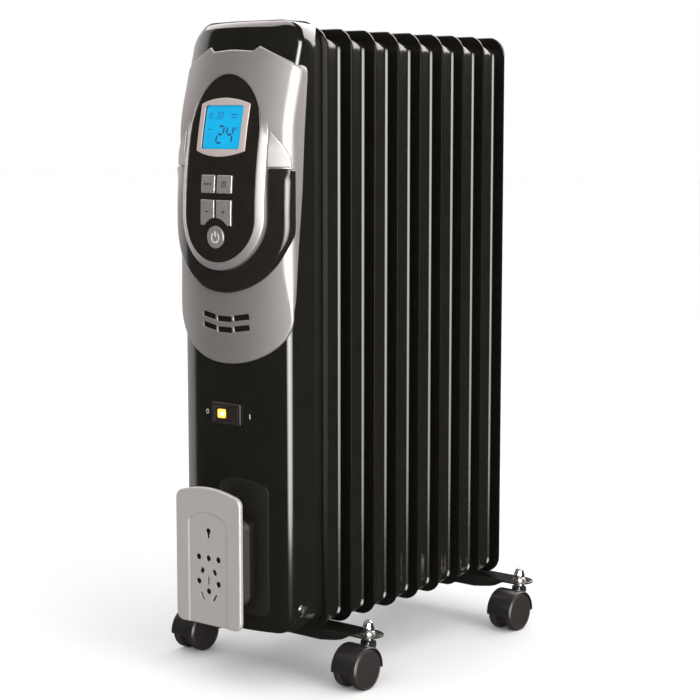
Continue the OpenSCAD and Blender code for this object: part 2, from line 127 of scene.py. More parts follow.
# ---------------------------------------------------------------- outlines in X and Z

def arc(cx, cz, rx, rz, a0, a1, n):
    return [(cx + rx * math.cos(math.radians(a0 + (a1 - a0) * i / n)),
             cz + rz * math.sin(math.radians(a0 + (a1 - a0) * i / n))) for i in range(n + 1)]


def fillet(corners, n=6):
    """Outline through (x, z, radius) corners, each rounded with its radius."""
    out = []
    for i, (x, z, r) in enumerate(corners):
        p = Vector((x, z))
        a = (Vector(corners[i - 1][:2]) - p).normalized()
        b = (Vector(corners[(i + 1) % len(corners)][:2]) - p).normalized()
        if r <= 0:
            out.append((x, z))
            continue
        half = a.angle(b) / 2
        reach = r / math.tan(half)
        centre = p + (a + b).normalized() * (r / math.sin(half))
        start, end = p + a * reach - centre, p + b * reach - centre
        sweep = start.angle_signed(end)
        for k in range(n + 1):
            t = -sweep * k / n
            out.append((centre.x + start.x * math.cos(t) - start.y * math.sin(t),
                        centre.y + start.x * math.sin(t) + start.y * math.cos(t)))
    return out


def rect(cx, cz, w, h, r=0.0, turn=0.0):
    pts = fillet([(-w / 2, -h / 2, r), (w / 2, -h / 2, r), (w / 2, h / 2, r), (-w / 2, h / 2, r)])
    c, s = math.cos(math.radians(turn)), math.sin(math.radians(turn))
    return [(cx + x * c - z * s, cz + x * s + z * c) for x, z in pts]


def dense(loop, step):
    """The same outline with no edge longer than step."""
    out = []
    for i, (x, z) in enumerate(loop):
        x2, z2 = loop[(i + 1) % len(loop)]
        n = max(1, int(math.ceil(math.hypot(x2 - x, z2 - z) / step)))
        out += [(x + (x2 - x) * k / n, z + (z2 - z) * k / n) for k in range(n)]
    return out


def signed_area(loop):
    """Positive for a loop that runs counter-clockwise."""
    return sum(a[0] * b[1] - b[0] * a[1] for a, b in zip(loop, loop[1:] + loop[:1])) / 2


def inset(loop, dists):
    """Each point of a counter-clockwise loop moved inwards by its distance."""
    out = []
    n = len(loop)
    for i in range(n):
        p, a, b = Vector(loop[i]), Vector(loop[i - 1]), Vector(loop[(i + 1) % n])
        e1, e2 = (p - a).normalized(), (b - p).normalized()
        n1, n2 = Vector((-e1.y, e1.x)), Vector((-e2.y, e2.x))
        m = (n1 + n2).normalized()
        q = p + m * dists[i] / max(m.dot(n1), 0.5)
        out.append((q.x, q.y))
    return out


# ---------------------------------------------------------------- mesh builders

def to_row(u, d, v):
    """Across, depth and height of the row of parts, as a place in the frame."""
    return Vector((u * MM, (d + FRONT) * MM, v * MM))


def add_plate(bm, outer, holes, front, back, rim=1.0, back_rim=0.3, hole_rim=0.6, cell=3.0, steps=4,
              place=to_row):
    """A closed plate between two surfaces over an outline, with rounded rims and holes."""
    start_faces = set(bm.faces)
    front_ring_edges, back_ring_edges = [], []
    work = bmesh.new()
    for index, loop in enumerate([outer] + list(holes)):
        loop = dense(loop, cell)
        if (signed_area(loop) < 0) == (index == 0):
            loop.reverse()
        size = rim if index == 0 else hole_rim
        radii = [size(x, z) if callable(size) else size for x, z in loop]
        rings = []
        for k in range(steps + 1):
            a = math.pi / 2 * k / steps
            pts = inset(loop, [r * (1 - math.sin(a)) for r in radii])
            rings.append([(x, front(x, z) + r * (1 - math.cos(a)), z) for (x, z), r in zip(pts, radii)])
        for k in range(3):
            a = math.pi / 2 * k / 2
            pts = inset(loop, [back_rim * (1 - math.cos(a))] * len(loop))
            rings.append([(x, back(x, z) - back_rim * (1 - math.sin(a)), z) for x, z in pts])
        made = [[work.verts.new(p) for p in ring] for ring in rings]
        n = len(loop)
        for ra, rb in zip(made, made[1:]):
            for i in range(n):
                work.faces.new((ra[i], ra[(i + 1) % n], rb[(i + 1) % n], rb[i]))
        for ring, store in ((made[0], front_ring_edges), (made[-1], back_ring_edges)):
            store += [work.edges.get((ring[i], ring[(i + 1) % n])) for i in range(n)]
    for tag, edges in ((1, front_ring_edges), (2, back_ring_edges)):
        flat = {v: v.co.y for e in edges for v in e.verts}
        for v in flat:
            v.co.y = 0
        filled = bmesh.ops.triangle_fill(work, edges=edges, use_beauty=True, normal=(0, 1, 0))
        for g in filled["geom"]:
            if isinstance(g, bmesh.types.BMFace):
                g.material_index = tag
        for v, y in flat.items():
            v.co.y = y
    xs = [p[0] for p in outer]
    zs = [p[1] for p in outer]
    for lo, hi, axis in ((min(xs), max(xs), 0), (min(zs), max(zs), 2)):
        for i in range(1, int((hi - lo) / cell)):
            at = [0, 0, 0]
            at[axis] = lo + i * cell
            normal = [0, 0, 0]
            normal[axis] = 1
            faces = [f for f in work.faces if f.material_index == 1]
            geom = set(faces)
            for f in faces:
                geom.update(f.edges)
                geom.update(f.verts)
            bmesh.ops.bisect_plane(work, geom=list(geom), plane_co=at, plane_no=normal, dist=1e-4)
    for f in work.faces:
        if f.material_index == 1:
            for v in f.verts:
                v.co.y = front(v.co.x, v.co.z)
        if f.material_index == 2:
            for v in f.verts:
                v.co.y = back(v.co.x, v.co.z)
        f.material_index = 0
    bmesh.ops.remove_doubles(work, verts=work.verts, dist=1e-4)
    bmesh.ops.recalc_face_normals(work, faces=work.faces)
    moved = {v: bm.verts.new(place(*v.co)) for v in work.verts}
    for f in work.faces:
        bm.faces.new([moved[v] for v in f.verts])
    work.free()
    new = [f for f in bm.faces if f not in start_faces]
    bmesh.ops.recalc_face_normals(bm, faces=new)


def add_loft(bm, sections, closed=False):
    """Quads between closed sections with the same number of points, in row millimetres."""
    rings = [[bm.verts.new(Vector(p) * MM) for p in s] for s in sections]
    n = len(rings[0])
    pairs = list(zip(rings, rings[1:]))
    if closed:
        pairs.append((rings[-1], rings[0]))
    new = []
    for a, b in pairs:
        for i in range(n):
            new.append(bm.faces.new((a[i], a[(i + 1) % n], b[(i + 1) % n], b[i])))
    if not closed:
        new.append(bm.faces.new(rings[0]))
        new.append(bm.faces.new(rings[-1]))
    bmesh.ops.recalc_face_normals(bm, faces=new)


def add_lathe(bm, profile, centre, axis="Z", turns=64, a0=0.0, a1=360.0):
    """A closed (radius, height) profile turned about an axis through centre, in row millimetres."""
    full = abs(a1 - a0 - 360) < 1e-6
    sections = []
    for i in range(turns + (0 if full else 1)):
        a = math.radians(a0 + (a1 - a0) * i / turns)
        c, s = math.cos(a), math.sin(a)
        ring = []
        for r, h in profile:
            p = {"Z": (r * c, r * s, h), "Y": (r * c, h, r * s), "X": (h, r * c, r * s)}[axis]
            ring.append(Vector(centre) + Vector(p))
        sections.append(ring)
    add_loft(bm, sections, closed=full)
    bmesh.ops.remove_doubles(bm, verts=bm.verts, dist=1e-7)
    loose = [e for e in bm.edges if not e.link_faces]
    bmesh.ops.delete(bm, geom=loose, context="EDGES")


def finish_mesh(bm, name, mat, body="root", replaces=(), sharp=38.0):
    mesh = bpy.data.meshes.new(name)
    bm.to_mesh(mesh)
    bm.free()
    mesh.shade_smooth()
    mesh.set_sharp_from_angle(angle=math.radians(sharp))
    obj = bpy.data.objects.new(name, mesh)
    bpy.context.scene.collection.objects.link(obj)
    mesh.materials.append(mat)
    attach(obj, body)
    if replaces:
        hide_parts(*replaces)
    return obj


def plate(name, mat, outer, holes, front, back, body="root", replaces=(), slot=None, **more):
    bm = bmesh.new()
    add_plate(bm, outer, holes, front, back, **more)
    return finish_mesh(bm, name, mat, body, replaces)


# ---------------------------------------------------------------- materials

def material(name, color, rough, metal=0.0, coat=0.0, spec=0.5, grain=700.0, stretch=(1, 1, 1), mottle=0.12,
             rough_spread=0.08, bump=0.02, bump_scale=900.0, bump_stretch=(1, 1, 1), edge_lighten=0.0):
    """Principled material with colour mottle, roughness variation and a fine bump, all in object space."""
    mat = bpy.data.materials.new(name)
    mat.use_nodes = True
    nodes, links = mat.node_tree.nodes, mat.node_tree.links
    shader = nodes["Principled BSDF"]
    shader.inputs["Metallic"].default_value = metal
    shader.inputs["Specular IOR Level"].default_value = spec
    shader.inputs["Coat Weight"].default_value = coat
    shader.inputs["Coat Roughness"].default_value = 0.06
    coords = nodes.new("ShaderNodeTexCoord")

    def noise(scale, stretch, detail=4.0):
        mapping = nodes.new("ShaderNodeMapping")
        mapping.inputs["Scale"].default_value = stretch
        links.new(coords.outputs["Object"], mapping.inputs["Vector"])
        tex = nodes.new("ShaderNodeTexNoise")
        tex.inputs["Scale"].default_value = scale
        tex.inputs["Detail"].default_value = detail
        links.new(mapping.outputs["Vector"], tex.inputs["Vector"])
        return tex.outputs["Fac"]

    def ramp(fac, low, high):
        node = nodes.new("ShaderNodeValToRGB")
        node.color_ramp.elements[0].position = 0.3
        node.color_ramp.elements[1].position = 0.7
        node.color_ramp.elements[0].color = (*low, 1)
        node.color_ramp.elements[1].color = (*high, 1)
        links.new(fac, node.inputs["Fac"])
        return node.outputs["Color"]

    dark = [c * (1 - mottle) for c in color]
    light = [min(c * (1 + mottle), 1) for c in color]
    base = ramp(noise(grain, stretch), dark, light)
    # Convex edges, found by pointiness, are mixed towards a lighter colour.
    if edge_lighten > 0:
        geo = nodes.new("ShaderNodeNewGeometry")
        edge = nodes.new("ShaderNodeMapRange")
        edge.inputs["From Min"].default_value = 0.52
        edge.inputs["From Max"].default_value = 0.62
        links.new(geo.outputs["Pointiness"], edge.inputs["Value"])
        scaled = nodes.new("ShaderNodeMath")
        scaled.operation = "MULTIPLY"
        scaled.inputs[1].default_value = edge_lighten
        links.new(edge.outputs["Result"], scaled.inputs[0])
        mix = nodes.new("ShaderNodeMix")
        mix.data_type = "RGBA"
        links.new(scaled.outputs["Value"], mix.inputs["Factor"])
        links.new(base, mix.inputs["A"])
        mix.inputs["B"].default_value = (*[min(c * 2.5 + 0.03, 1) for c in color], 1)
        base = mix.outputs["Result"]
    links.new(base, shader.inputs["Base Color"])
    spread = nodes.new("ShaderNodeMapRange")
    spread.inputs["To Min"].default_value = max(rough * (1 - rough_spread), 0.02)
    spread.inputs["To Max"].default_value = min(rough * (1 + rough_spread), 1)
    links.new(noise(35.0, (1, 1, 1), 6.0), spread.inputs["Value"])
    links.new(spread.outputs["Result"], shader.inputs["Roughness"])
    height = nodes.new("ShaderNodeBump")
    height.inputs["Strength"].default_value = bump
    height.inputs["Distance"].default_value = 0.0004
    links.new(noise(bump_scale, bump_stretch, 2.0), height.inputs["Height"])
    links.new(height.outputs["Normal"], shader.inputs["Normal"])
    return mat


def glow(mat, color, strength):
    shader = mat.node_tree.nodes["Principled BSDF"]
    shader.inputs["Emission Color"].default_value = (*color, 1)
    shader.inputs["Emission Strength"].default_value = strength
    return mat


ENAMEL = material("fin_enamel", (0.0085, 0.0075, 0.006), 0.15, spec=0.5, bump=0.05, bump_scale=260, grain=60)
HOUSE = material("housing_enamel", (0.008, 0.0077, 0.006), 0.11, spec=0.8, bump=0.02, bump_scale=180,
                 grain=50)
SILVER = material("silver_lacquer", (0.29, 0.271, 0.262), 0.46, metal=0.66, grain=2600, stretch=(1, 1, 0.35),
                  mottle=0.10, bump=0.06, bump_scale=2200)
RING = material("collar_silver", (0.33, 0.312, 0.305), 0.40, metal=0.60, grain=1800, mottle=0.06, bump=0.03)
BEZEL = material("bezel_silver", (0.44, 0.375, 0.35), 0.40, metal=0.15, grain=1800, mottle=0.05, bump=0.02)
GLOSS = material("panel_black", (0.013, 0.011, 0.009), 0.09, spec=0.4, coat=0.2, grain=80, bump=0.01)
GRIP = material("handle_black", (0.013, 0.011, 0.010), 0.13, spec=0.45, coat=0.3, grain=90, bump=0.02)
KEY = material("key_silver", (0.36, 0.34, 0.32), 0.38, metal=0.6, grain=900, stretch=(6, 1, 0.25),
               mottle=0.30, bump=0.10, bump_scale=900, bump_stretch=(6, 1, 0.2))
INK = material("legend_ink", (0.03, 0.028, 0.026), 0.5, grain=900)
PALE_INK = material("pale_legend", (0.55, 0.53, 0.50), 0.5, grain=900)
SCREEN = glow(material("lcd_blue", (0.005, 0.17, 0.33), 0.12, grain=90, mottle=0.10),
              (0.006, 0.42, 0.72), 0.60)
SEGMENT = material("lcd_segment", (0.01, 0.07, 0.20), 0.3, grain=900)
DARK = material("dark_plastic", (0.016, 0.014, 0.013), 0.38, grain=500, bump=0.12)
ROCKER = material("rocker_black", (0.020, 0.015, 0.012), 0.22, grain=300, bump=0.03)
AMBER = glow(material("amber_lamp", (0.85, 0.32, 0.03), 0.2, grain=400), (1.0, 0.42, 0.05), 2.2)
CORE = glow(material("lamp_core", (1.0, 0.72, 0.3), 0.2, grain=400), (1.0, 0.68, 0.22), 5.0)
PLATE_SILVER = material("cord_plate_silver", (0.40, 0.37, 0.35), 0.42, metal=0.25, grain=2400, mottle=0.08,
                        bump=0.08, bump_scale=1600)
# Near-black sheets set behind the vent slots and the cord store's holes: painted shade for the dark inside of
# those recesses.
SHADE_BLACK = material("shadow_black", (0.004, 0.0035, 0.003), 0.8, spec=0.1, grain=400)
SPOOL = material("spool_dark", (0.035, 0.032, 0.030), 0.40, grain=600, bump=0.15)
FOOT = material("foot_enamel", (0.013, 0.012, 0.010), 0.20, coat=0.2, spec=0.4, grain=70, bump=0.05,
                bump_scale=300)
CHROME = material("bright_chrome", (0.60, 0.58, 0.56), 0.18, metal=1.0, grain=200, mottle=0.04, bump=0.01)
ZINC = material("zinc_plate", (0.50, 0.49, 0.47), 0.32, metal=1.0, grain=350, mottle=0.15, bump=0.05)
STEEL = material("element_steel", (0.40, 0.38, 0.36), 0.34, metal=1.0, grain=300, mottle=0.18, bump=0.05)
RUBBER = material("gland_rubber", (0.02, 0.02, 0.019), 0.6, grain=400, bump=0.2)
NYLON = material("caster_nylon", (0.016, 0.014, 0.013), 0.34, grain=500, bump=0.10, edge_lighten=0.3)
WHEEL = material("wheel_nylon", (0.024, 0.019, 0.018), 0.38, grain=420, bump=0.12, edge_lighten=0.3)
BOARD = material("circuit_green", (0.02, 0.12, 0.06), 0.35, grain=500, mottle=0.3)
CERAMIC = material("ceramic_white", (0.72, 0.69, 0.62), 0.3, grain=300)
BRACKET = material("bracket_steel", (0.07, 0.07, 0.07), 0.4, grain=300)

CAD_FINISH = {
    "header_rings_top": ENAMEL, "header_rings_bottom": ENAMEL, "header_caps": ENAMEL, "filler_plug": ZINC,
    "element_flange": ZINC, "heating_elements": STEEL, "thermal_cutout": CERAMIC, "housing_back": BRACKET,
    "lcd_module": CERAMIC, "control_board": BOARD, "tact_switches": DARK, "power_board": BOARD,
    "front_screws": ZINC, "vent_screen": DARK, "cord_spool": SPOOL, "cord_gland": RUBBER,
    "tip_over_switch": CERAMIC, "housing_screws": ZINC, "foot_clamps": ZINC, "caster_stems": CHROME,
}


def finish_cad_nodes():
    for node, mat in CAD_FINISH.items():
        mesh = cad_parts[node].data
        mesh.materials.clear()
        mesh.materials.append(mat)


# ---------------------------------------------------------------- radiator

# Sheet thickness of a fin, its corner radius, the wing folded back along its sides, the bend between
# them, how far the oil channels swell, how far the wing's rear edge turns in, and the web's set back
FIN_T = 2.2
FIN_LO, FIN_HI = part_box("fin_9")
FIN_HW = FIN_HI.x / MM
FIN_Z0 = FIN_LO.z / MM
FIN_Z1 = FIN_HI.z / MM
FIN_R = 19.0
WING_D = 19.5
BEND_R = 0.9
CHANNEL_RISE = 1.9
LIP = 2.0
WEB_SET = 3.0


def pad(x, z, cx, cz, w, h, r, soft):
    """1 inside a rounded rectangle, falling smoothly to 0 over soft millimetres at its edge."""
    dx, dz = abs(x - cx) - w / 2 + r, abs(z - cz) - h / 2 + r
    dist = math.hypot(max(dx, 0), max(dz, 0)) + min(max(dx, dz), 0) - r
    return ease(0.5 - dist / soft)


def channel_rise(x, z):
    """Swelling of the two headers and of the four upright channels between them."""
    mid = (FIN_Z0 + FIN_Z1) / 2
    best = max(pad(x, z, 0, c, 116, 62, 24, 5) for c in (FIN_Z0 + 45, FIN_Z1 - 45))
    for k in (-1.5, -0.5, 0.5, 1.5):
        best = max(best, pad(x, z, k * 29, mid, 20, FIN_Z1 - FIN_Z0 - 110, 8, 5))
    return CHANNEL_RISE * best


def fin_rows():
    """Heights of a fin's sections, close together near its ends."""
    near = [0, 0.35, 1, 2, 3.5, 5, 7, 9, 11, 13, 16, 19] + [19 + 3 * i for i in range(1, 24)]
    lower = [FIN_Z0 + d for d in near]
    upper = [FIN_Z1 - d for d in reversed(near)]
    span = upper[0] - lower[-1]
    middle = [lower[-1] + span * i / 16 for i in range(1, 16)]
    return lower + middle + upper


def fin_section(z, y, winged):
    """Closed outline of one fin at height z: rear wing, bend, flat web, and the same mirrored."""
    end = min(z - FIN_Z0, FIN_Z1 - z)
    corner = max(FIN_R - end, 0)
    hw = FIN_HW - FIN_R + math.sqrt(max(FIN_R ** 2 - corner ** 2, 0))
    reach = min(max((end - 11) / 8, 0), 1)
    wing = WING_D * math.sqrt(1 - (1 - reach) ** 2) if winged else 0.0
    bend = min(BEND_R, wing)
    half = min(FIN_T / 2, 0.25 + end * 0.9)
    path = []
    lip = LIP * ease((wing - 6) / 6)
    for i in range(14):
        d = wing - (wing - bend) * (i / 14) ** 1.3
        toe_in = min((d - bend) / (WING_D - 3.5 - bend), max((wing - d) / 2.6, 0.0), 1.0)
        path.append((hw - lip * ease(max(toe_in, 0.0)), d, 1.0, 0.0))
    for i in range(7):
        a = math.pi / 2 * i / 6
        path.append((hw - bend + bend * math.cos(a), bend - bend * math.sin(a), math.cos(a), -math.sin(a)))
    flat = hw - bend
    for i in range(1, 30):
        path.append((flat * (1 - i / 30), 0.0, 0.0, -1.0))
    mirror = [(-x, d, -nx, nd) for x, d, nx, nd in reversed(path)]
    full = path + [(0.0, 0.0, 0.0, -1.0)] + mirror
    outer, inner = [], []
    for x, d, nx, nd in full:
        flatness = -nd if abs(nd) > 0.999 else 0.0
        thin = half * (0.62 if flatness == 0.0 and wing > 0 else 1.0)
        rise = channel_rise(x, z) * flatness
        outer.append((x + nx * thin - nx * half, y + d + nd * (thin + rise), z))
        inner.append((x - nx * thin - nx * half, y + d - nd * (thin + rise), z))
    return outer + inner[::-1]


def build_fins():
    for i in range(1, 10):
        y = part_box(f"fin_{i}")[0].y / MM + WEB_SET
        bm = bmesh.new()
        add_loft(bm, [fin_section(z, y, i < 9) for z in fin_rows()])
        finish_mesh(bm, f"fin_sheets_{i}", ENAMEL, replaces=[f"fin_{i}"], sharp=50)


# ---------------------------------------------------------------- housing

def house_outline():
    return fillet([(-HOUSE_HW, HOUSE_Z, 17), (HOUSE_HW, HOUSE_Z, 17), (HOUSE_HW, HOUSE_TOP, 24),
                   (-HOUSE_HW, HOUSE_TOP, 24)], 14)


def house_rim(x, z):
    return 5.4 - 2.6 * ease((z - 400) / 150) + 6.2 * ease((z - 618) / 20)


def build_housing():
    rocker_hole = rect(0, ROCKER_Z, 32.8, 18, 1.5)
    plate("housing_skin", HOUSE, house_outline(), [rocker_hole], house_y, lambda x, z: HOUSE_D, rim=house_rim,
          back_rim=0.8, steps=8, cell=4.0, replaces=["housing_shell"], slot="housing_enamel")
    lo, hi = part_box("top_cap")
    mid_y = (lo.y + hi.y) / 2 / MM
    cap = rect(0, 0, (hi.x - lo.x) / MM, (hi.y - lo.y) / MM, 4)
    plate("top_cap_slab", HOUSE, cap, [], lambda u, v: 0.0, lambda u, v: 1.8, rim=0.8, cell=6.0,
          place=lambda u, d, v: Vector((u, mid_y + v, HOUSE_TOP + 1.5 - d)) * MM, replaces=["top_cap"],
          slot="housing_enamel")


# ---------------------------------------------------------------- fascia, collar and panel

def oval(g):
    w = PANEL_HW + g
    return arc(0, OVAL_LOW, w, w, 180, 360, 40) + arc(0, OVAL_HIGH, w, OVAL_RISE + g, 0, 180, 48)


def fascia_outline():
    hw = HOUSE_HW + 3
    chin = arc(0, CHIN_Z, hw, CHIN_Z - CHIN_TIP, 180, 360, 48)
    side = [(hw, 500, 0), (hw, 597, 9), (31, 616, 1.6), (25, 611.5, 1.6)]
    mirror = [(-x, z, radius) for x, z, radius in reversed(side)]
    top = fillet(side + [(0, 613.2, 60)] + mirror)
    return chin + top


def fascia_back(x, z):
    """Lies on the housing, and reaches back at its sides to a line that moves back with height."""
    edges = ((300, -2), (362, -1), (379, 3), (427, 7), (479, 12.6), (536, 16), (585, 20.5), (640, 21))
    y = edges[-1][1]
    for (za, ya), (zb, yb) in zip(edges, edges[1:]):
        if za <= z <= zb:
            y = ya + (yb - ya) * (z - za) / (zb - za)
    side = ease((abs(x) - 67) / 4)
    house = house_y(min(max(x, -HOUSE_HW), HOUSE_HW), z) + 0.3
    return house + (max(y, house) - house) * side


def fascia_rim(x, z):
    """A wide soft edge along the sides, and a narrow one at the chin and the top."""
    return 1.2 + 6.3 * ease((abs(x) - 60) / 11) * ease((z - CHIN_Z + 4) / 55) * ease((612 - z) / 22)


def vent_slots():
    slots = []
    for row in (348.5, 359):
        for s in (-1, 0, 1):
            slots.append(rect(s * 20.5, row + abs(s) * 2.4, 18.2, 5.4, 1.0, s * 9))
    return slots


def collar_front(x, z):
    """Stands proud of the fascia, drops towards its outer edge, and sinks into the fascia round the top."""
    fade = 1 - ease((z - OVAL_HIGH) / 36)
    off = z - OVAL_LOW if z < OVAL_LOW else max(z - OVAL_HIGH, 0) * 0.77
    across = min(max((math.hypot(x, off) - PANEL_HW) / COLLAR, 0), 1)
    height = max(fascia_y(x, z) - panel_y(x, z) + 0.6 - 2.0 * across, 0.25)
    return fascia_y(x, z) - height * fade + 0.5 * (1 - fade)


def scoop_front(x, z):
    """Finger scoop above the handle: proud at its inner edge, low at its outer edge and its tip."""
    across = min(max((abs(x) - 53) / 19, 0), 1)
    return fascia_y(x, z) - (3.6 - 3.3 * across) * min(max((541 - z) / 22, 0.08), 1)


def build_fascia():
    plate("fascia_skin", SILVER, fascia_outline(), [oval(0.6)] + vent_slots(), fascia_y, fascia_back,
          rim=fascia_rim, hole_rim=0.5, steps=6, replaces=["fascia"], slot="silver_plastic")
    # Near-black sheet inside the vent slots, in front of the real screen: painted shade for the dark inside
    # of the slots.
    plate("vent_shade_sheet", SHADE_BLACK, rect(0, 354, 64, 22, 3), [], raised(fascia_y, -1.5), raised(fascia_y, -1.8),
          rim=0.1, back_rim=0.1, slot="dark_plastic")
    plate("panel_collar", RING, oval(COLLAR), [oval(0.1)], collar_front, raised(fascia_y, -2.2), rim=1.2,
          hole_rim=0.6, steps=5, replaces=["panel_ring"], slot="ring_silver")
    for side, s in (("left", -1), ("right", 1)):
        outline = fillet([(52.6 * s, 503.6, 0.8), (72.4 * s, 503.6, 0.8), (71.6 * s, 513, 10),
                          (66 * s, 524, 24), (53 * s, 538.5, 0.6), (52.4 * s, 520, 10)])
        plate(f"handle_scoop_{side}", SILVER, outline, [], scoop_front, raised(fascia_y, -1.5), rim=0.9,
              cell=2.0, slot="silver_plastic")


# ---------------------------------------------------------------- keys, panel and display

def lower_key(s, g=0.0):
    """Lower key: its inner bottom corner is cut by an arc round the power key."""
    x_in, x_out = s * (KEY_X - KEY_W / 2) - s * g, s * (KEY_X + KEY_W / 2) + s * g
    top, bottom = LOWER_Z + 12 + g, LOWER_Z - 12 - g
    r = POWER_R + 7.6 - g
    a_in = math.acos(abs(x_in) / r)
    a_out = math.asin(max(min((bottom - POWER_Z) / r, 1), -1))
    angles = [a_in + (a_out - a_in) * i / 8 for i in range(9)]
    cut = [(s * r * math.cos(a), POWER_Z + r * math.sin(a)) for a in angles]
    return [(x_in, top), (x_out, top), (x_out, bottom)] + cut[::-1]


def key_outline(kind, g=0.0):
    if kind == "power":
        return arc(0, POWER_Z, POWER_R + g, POWER_R + g, 0, 352.5, 47)
    s = -1 if kind in ("mode", "minus") else 1
    if kind in ("mode", "timer"):
        return rect(s * KEY_X, KEYS_Z, KEY_W + 2 * g, 17 + 2 * g, 0.9)
    return lower_key(s, g)


def lcd_outline(g=0.0):
    """Display surround: two arcs that meet in corners at its sides."""
    radius = LCD_ARC + g
    top = arc(0, LCD_Z + LCD_HALF - LCD_ARC, radius, radius, 69.5, 110.5, 14)
    low = arc(0, LCD_Z - LCD_HALF + LCD_ARC, radius, radius, 249.5, 290.5, 14)
    return top + low


def legend(name, mat, shapes, surface, body):
    """Raised marks that stand 0.12 mm proud of a surface."""
    bm = bmesh.new()
    for shape in shapes:
        add_plate(bm, shape, [], raised(surface, 0.12), raised(surface, -0.2), rim=0.05, back_rim=0.02,
                  steps=2, cell=2.0)
    finish_mesh(bm, name, mat, body)


def stroke(x0, z0, x1, z1, w):
    dx, dz = x1 - x0, z1 - z0
    k = w / 2 / math.hypot(dx, dz)
    return [(x0 - dz * k, z0 + dx * k), (x0 + dz * k, z0 - dx * k), (x1 + dz * k, z1 - dx * k),
            (x1 - dz * k, z1 + dx * k)]


def ring_arc(cx, cz, r, w, a0, a1, n=24):
    return arc(cx, cz, r + w / 2, r + w / 2, a0, a1, n) + arc(cx, cz, r - w / 2, r - w / 2, a1, a0, n)


def build_keys():
    top = raised(panel_y, 1.1)

    def dished(x, z):
        return top(x, z) + 0.5 * ease(1 - math.hypot(x, z - POWER_Z) / POWER_R)

    for kind in KEY_KINDS:
        plate(f"key_cap_{kind}", KEY, key_outline(kind), [], dished if kind == "power" else top,
              raised(panel_y, -4.5), body=f"key_{kind}", rim=0.7, cell=2.0, replaces=[f"key_{kind}"],
              slot="key_silver")
    legend("legend_minus", INK, [rect(-KEY_X, LOWER_Z + 1, 4.4, 1.1)], top, "key_minus")
    arm = [(-2.2, -0.5), (-0.5, -0.5), (-0.5, -2.2)]
    half = arm + [(-x, z) for x, z in reversed(arm)]
    plus = [(KEY_X + x, LOWER_Z + 1 + z) for x, z in half + [(-x, -z) for x, z in half]]
    legend("legend_plus", INK, [plus], top, "key_plus")
    dots = [rect(-KEY_X + d, KEYS_Z, 2.2, 2.2, 0.3) for d in (-3.6, 0, 3.6)]
    legend("legend_mode", INK, dots, top, "key_mode")
    clock = [ring_arc(KEY_X, KEYS_Z, 2.6, 0.8, 0, 350),
             stroke(KEY_X, KEYS_Z - 0.3, KEY_X, KEYS_Z + 1.9, 0.7),
             stroke(KEY_X + 0.35, KEYS_Z, KEY_X + 1.6, KEYS_Z, 0.7)]
    legend("legend_timer", INK, clock, top, "key_timer")
    power = [ring_arc(0, POWER_Z - 0.4, 4.6, 1.3, 125, 415), stroke(0, POWER_Z + 0.4, 0, POWER_Z + 5.6, 1.4)]
    legend("legend_power", PALE_INK, power, dished, "key_power")


# Start and end of each stroke of a seven-stroke digit, in a unit square
SEGMENTS = {"a": (0, 1, 1, 1), "b": (1, 1, 1, 0.5), "c": (1, 0.5, 1, 0), "d": (0, 0, 1, 0),
            "e": (0, 0.5, 0, 0), "f": (0, 1, 0, 0.5), "g": (0, 0.5, 1, 0.5)}


def digit(lit, x, z, w, h, t, slant=0.14):
    shapes = []
    for key in lit:
        x0, z0, x1, z1 = SEGMENTS[key]
        ends = []
        for px, pz in ((x0, z0), (x1, z1)):
            ends.append((x + px * w + pz * h * slant, z + pz * h))
        (ax, az), (bx, bz) = ends
        cut = 0.6 * t / math.hypot(bx - ax, bz - az)
        dx, dz = (bx - ax) * cut, (bz - az) * cut
        shapes.append(stroke(ax + dx, az + dz, bx - dx, bz - dz, t))
    return shapes


def build_panel():
    holes = [key_outline(kind, 0.45) for kind in KEY_KINDS] + [lcd_outline(0.1)]
    plate("panel_skin", GLOSS, oval(0), holes, panel_y, raised(panel_y, -3), rim=0.8, hole_rim=0.35, cell=3.0,
          replaces=["panel"], slot="panel_black")
    plate("key_bed", DARK, rect(0, 466, 46, 72, 4), [], raised(panel_y, -2.2), raised(panel_y, -3.4),
          rim=0.2, cell=6.0, slot="dark_plastic")
    view = rect(0, LCD_Z, 48, 41, 3)
    plate("lcd_bezel", BEZEL, lcd_outline(0), [view], raised(panel_y, 0.4), raised(panel_y, -0.5), rim=0.6,
          hole_rim=0.4, replaces=["lcd_frame"], slot="ring_silver")
    plate("lcd_well", DARK, lcd_outline(-0.6), [rect(0, LCD_Z, 47.6, 40.6, 3)], raised(panel_y, -0.5),
          raised(panel_y, -3), rim=0.1, hole_rim=0.1, slot="dark_plastic")
    glass = raised(panel_y, -1.8)
    plate("lcd_screen", SCREEN, rect(0, LCD_Z, 49, 42, 3), [], glass, raised(panel_y, -2.8), rim=0.2,
          replaces=["lcd_window"], slot="lcd_blue")
    shapes = []
    for lit, x in (("abged", -6.5), ("fgbc", 5)):
        shapes += digit(lit, x, LCD_Z - 14.5, 7.4, 15.5, 1.9)
    for lit, x in (("abgcd", -9), ("abcdef", -4)):
        shapes += digit(lit, x, LCD_Z + 8, 3, 6, 0.6)
    shapes += [ring_arc(-17, LCD_Z + 11, 2.2, 0.7, 0, 350), stroke(10, LCD_Z + 9, 16, LCD_Z + 9, 0.7),
               stroke(10, LCD_Z + 12, 18, LCD_Z + 12, 0.7), stroke(-18, LCD_Z - 2, -13, LCD_Z - 2, 0.7),
               ring_arc(17.5, LCD_Z - 1.5, 1.1, 0.5, 0, 350, 12)]
    legend("lcd_digits", SEGMENT, shapes, glass, "root")


# ---------------------------------------------------------------- handle

# U-shaped handle: outer and inner half widths, how far it hangs below the middle, and where it ends
HANDLE_HW = 72.6
HANDLE_IN = 53.2
HANDLE_DROP = 65
HANDLE_TOP = 502.6


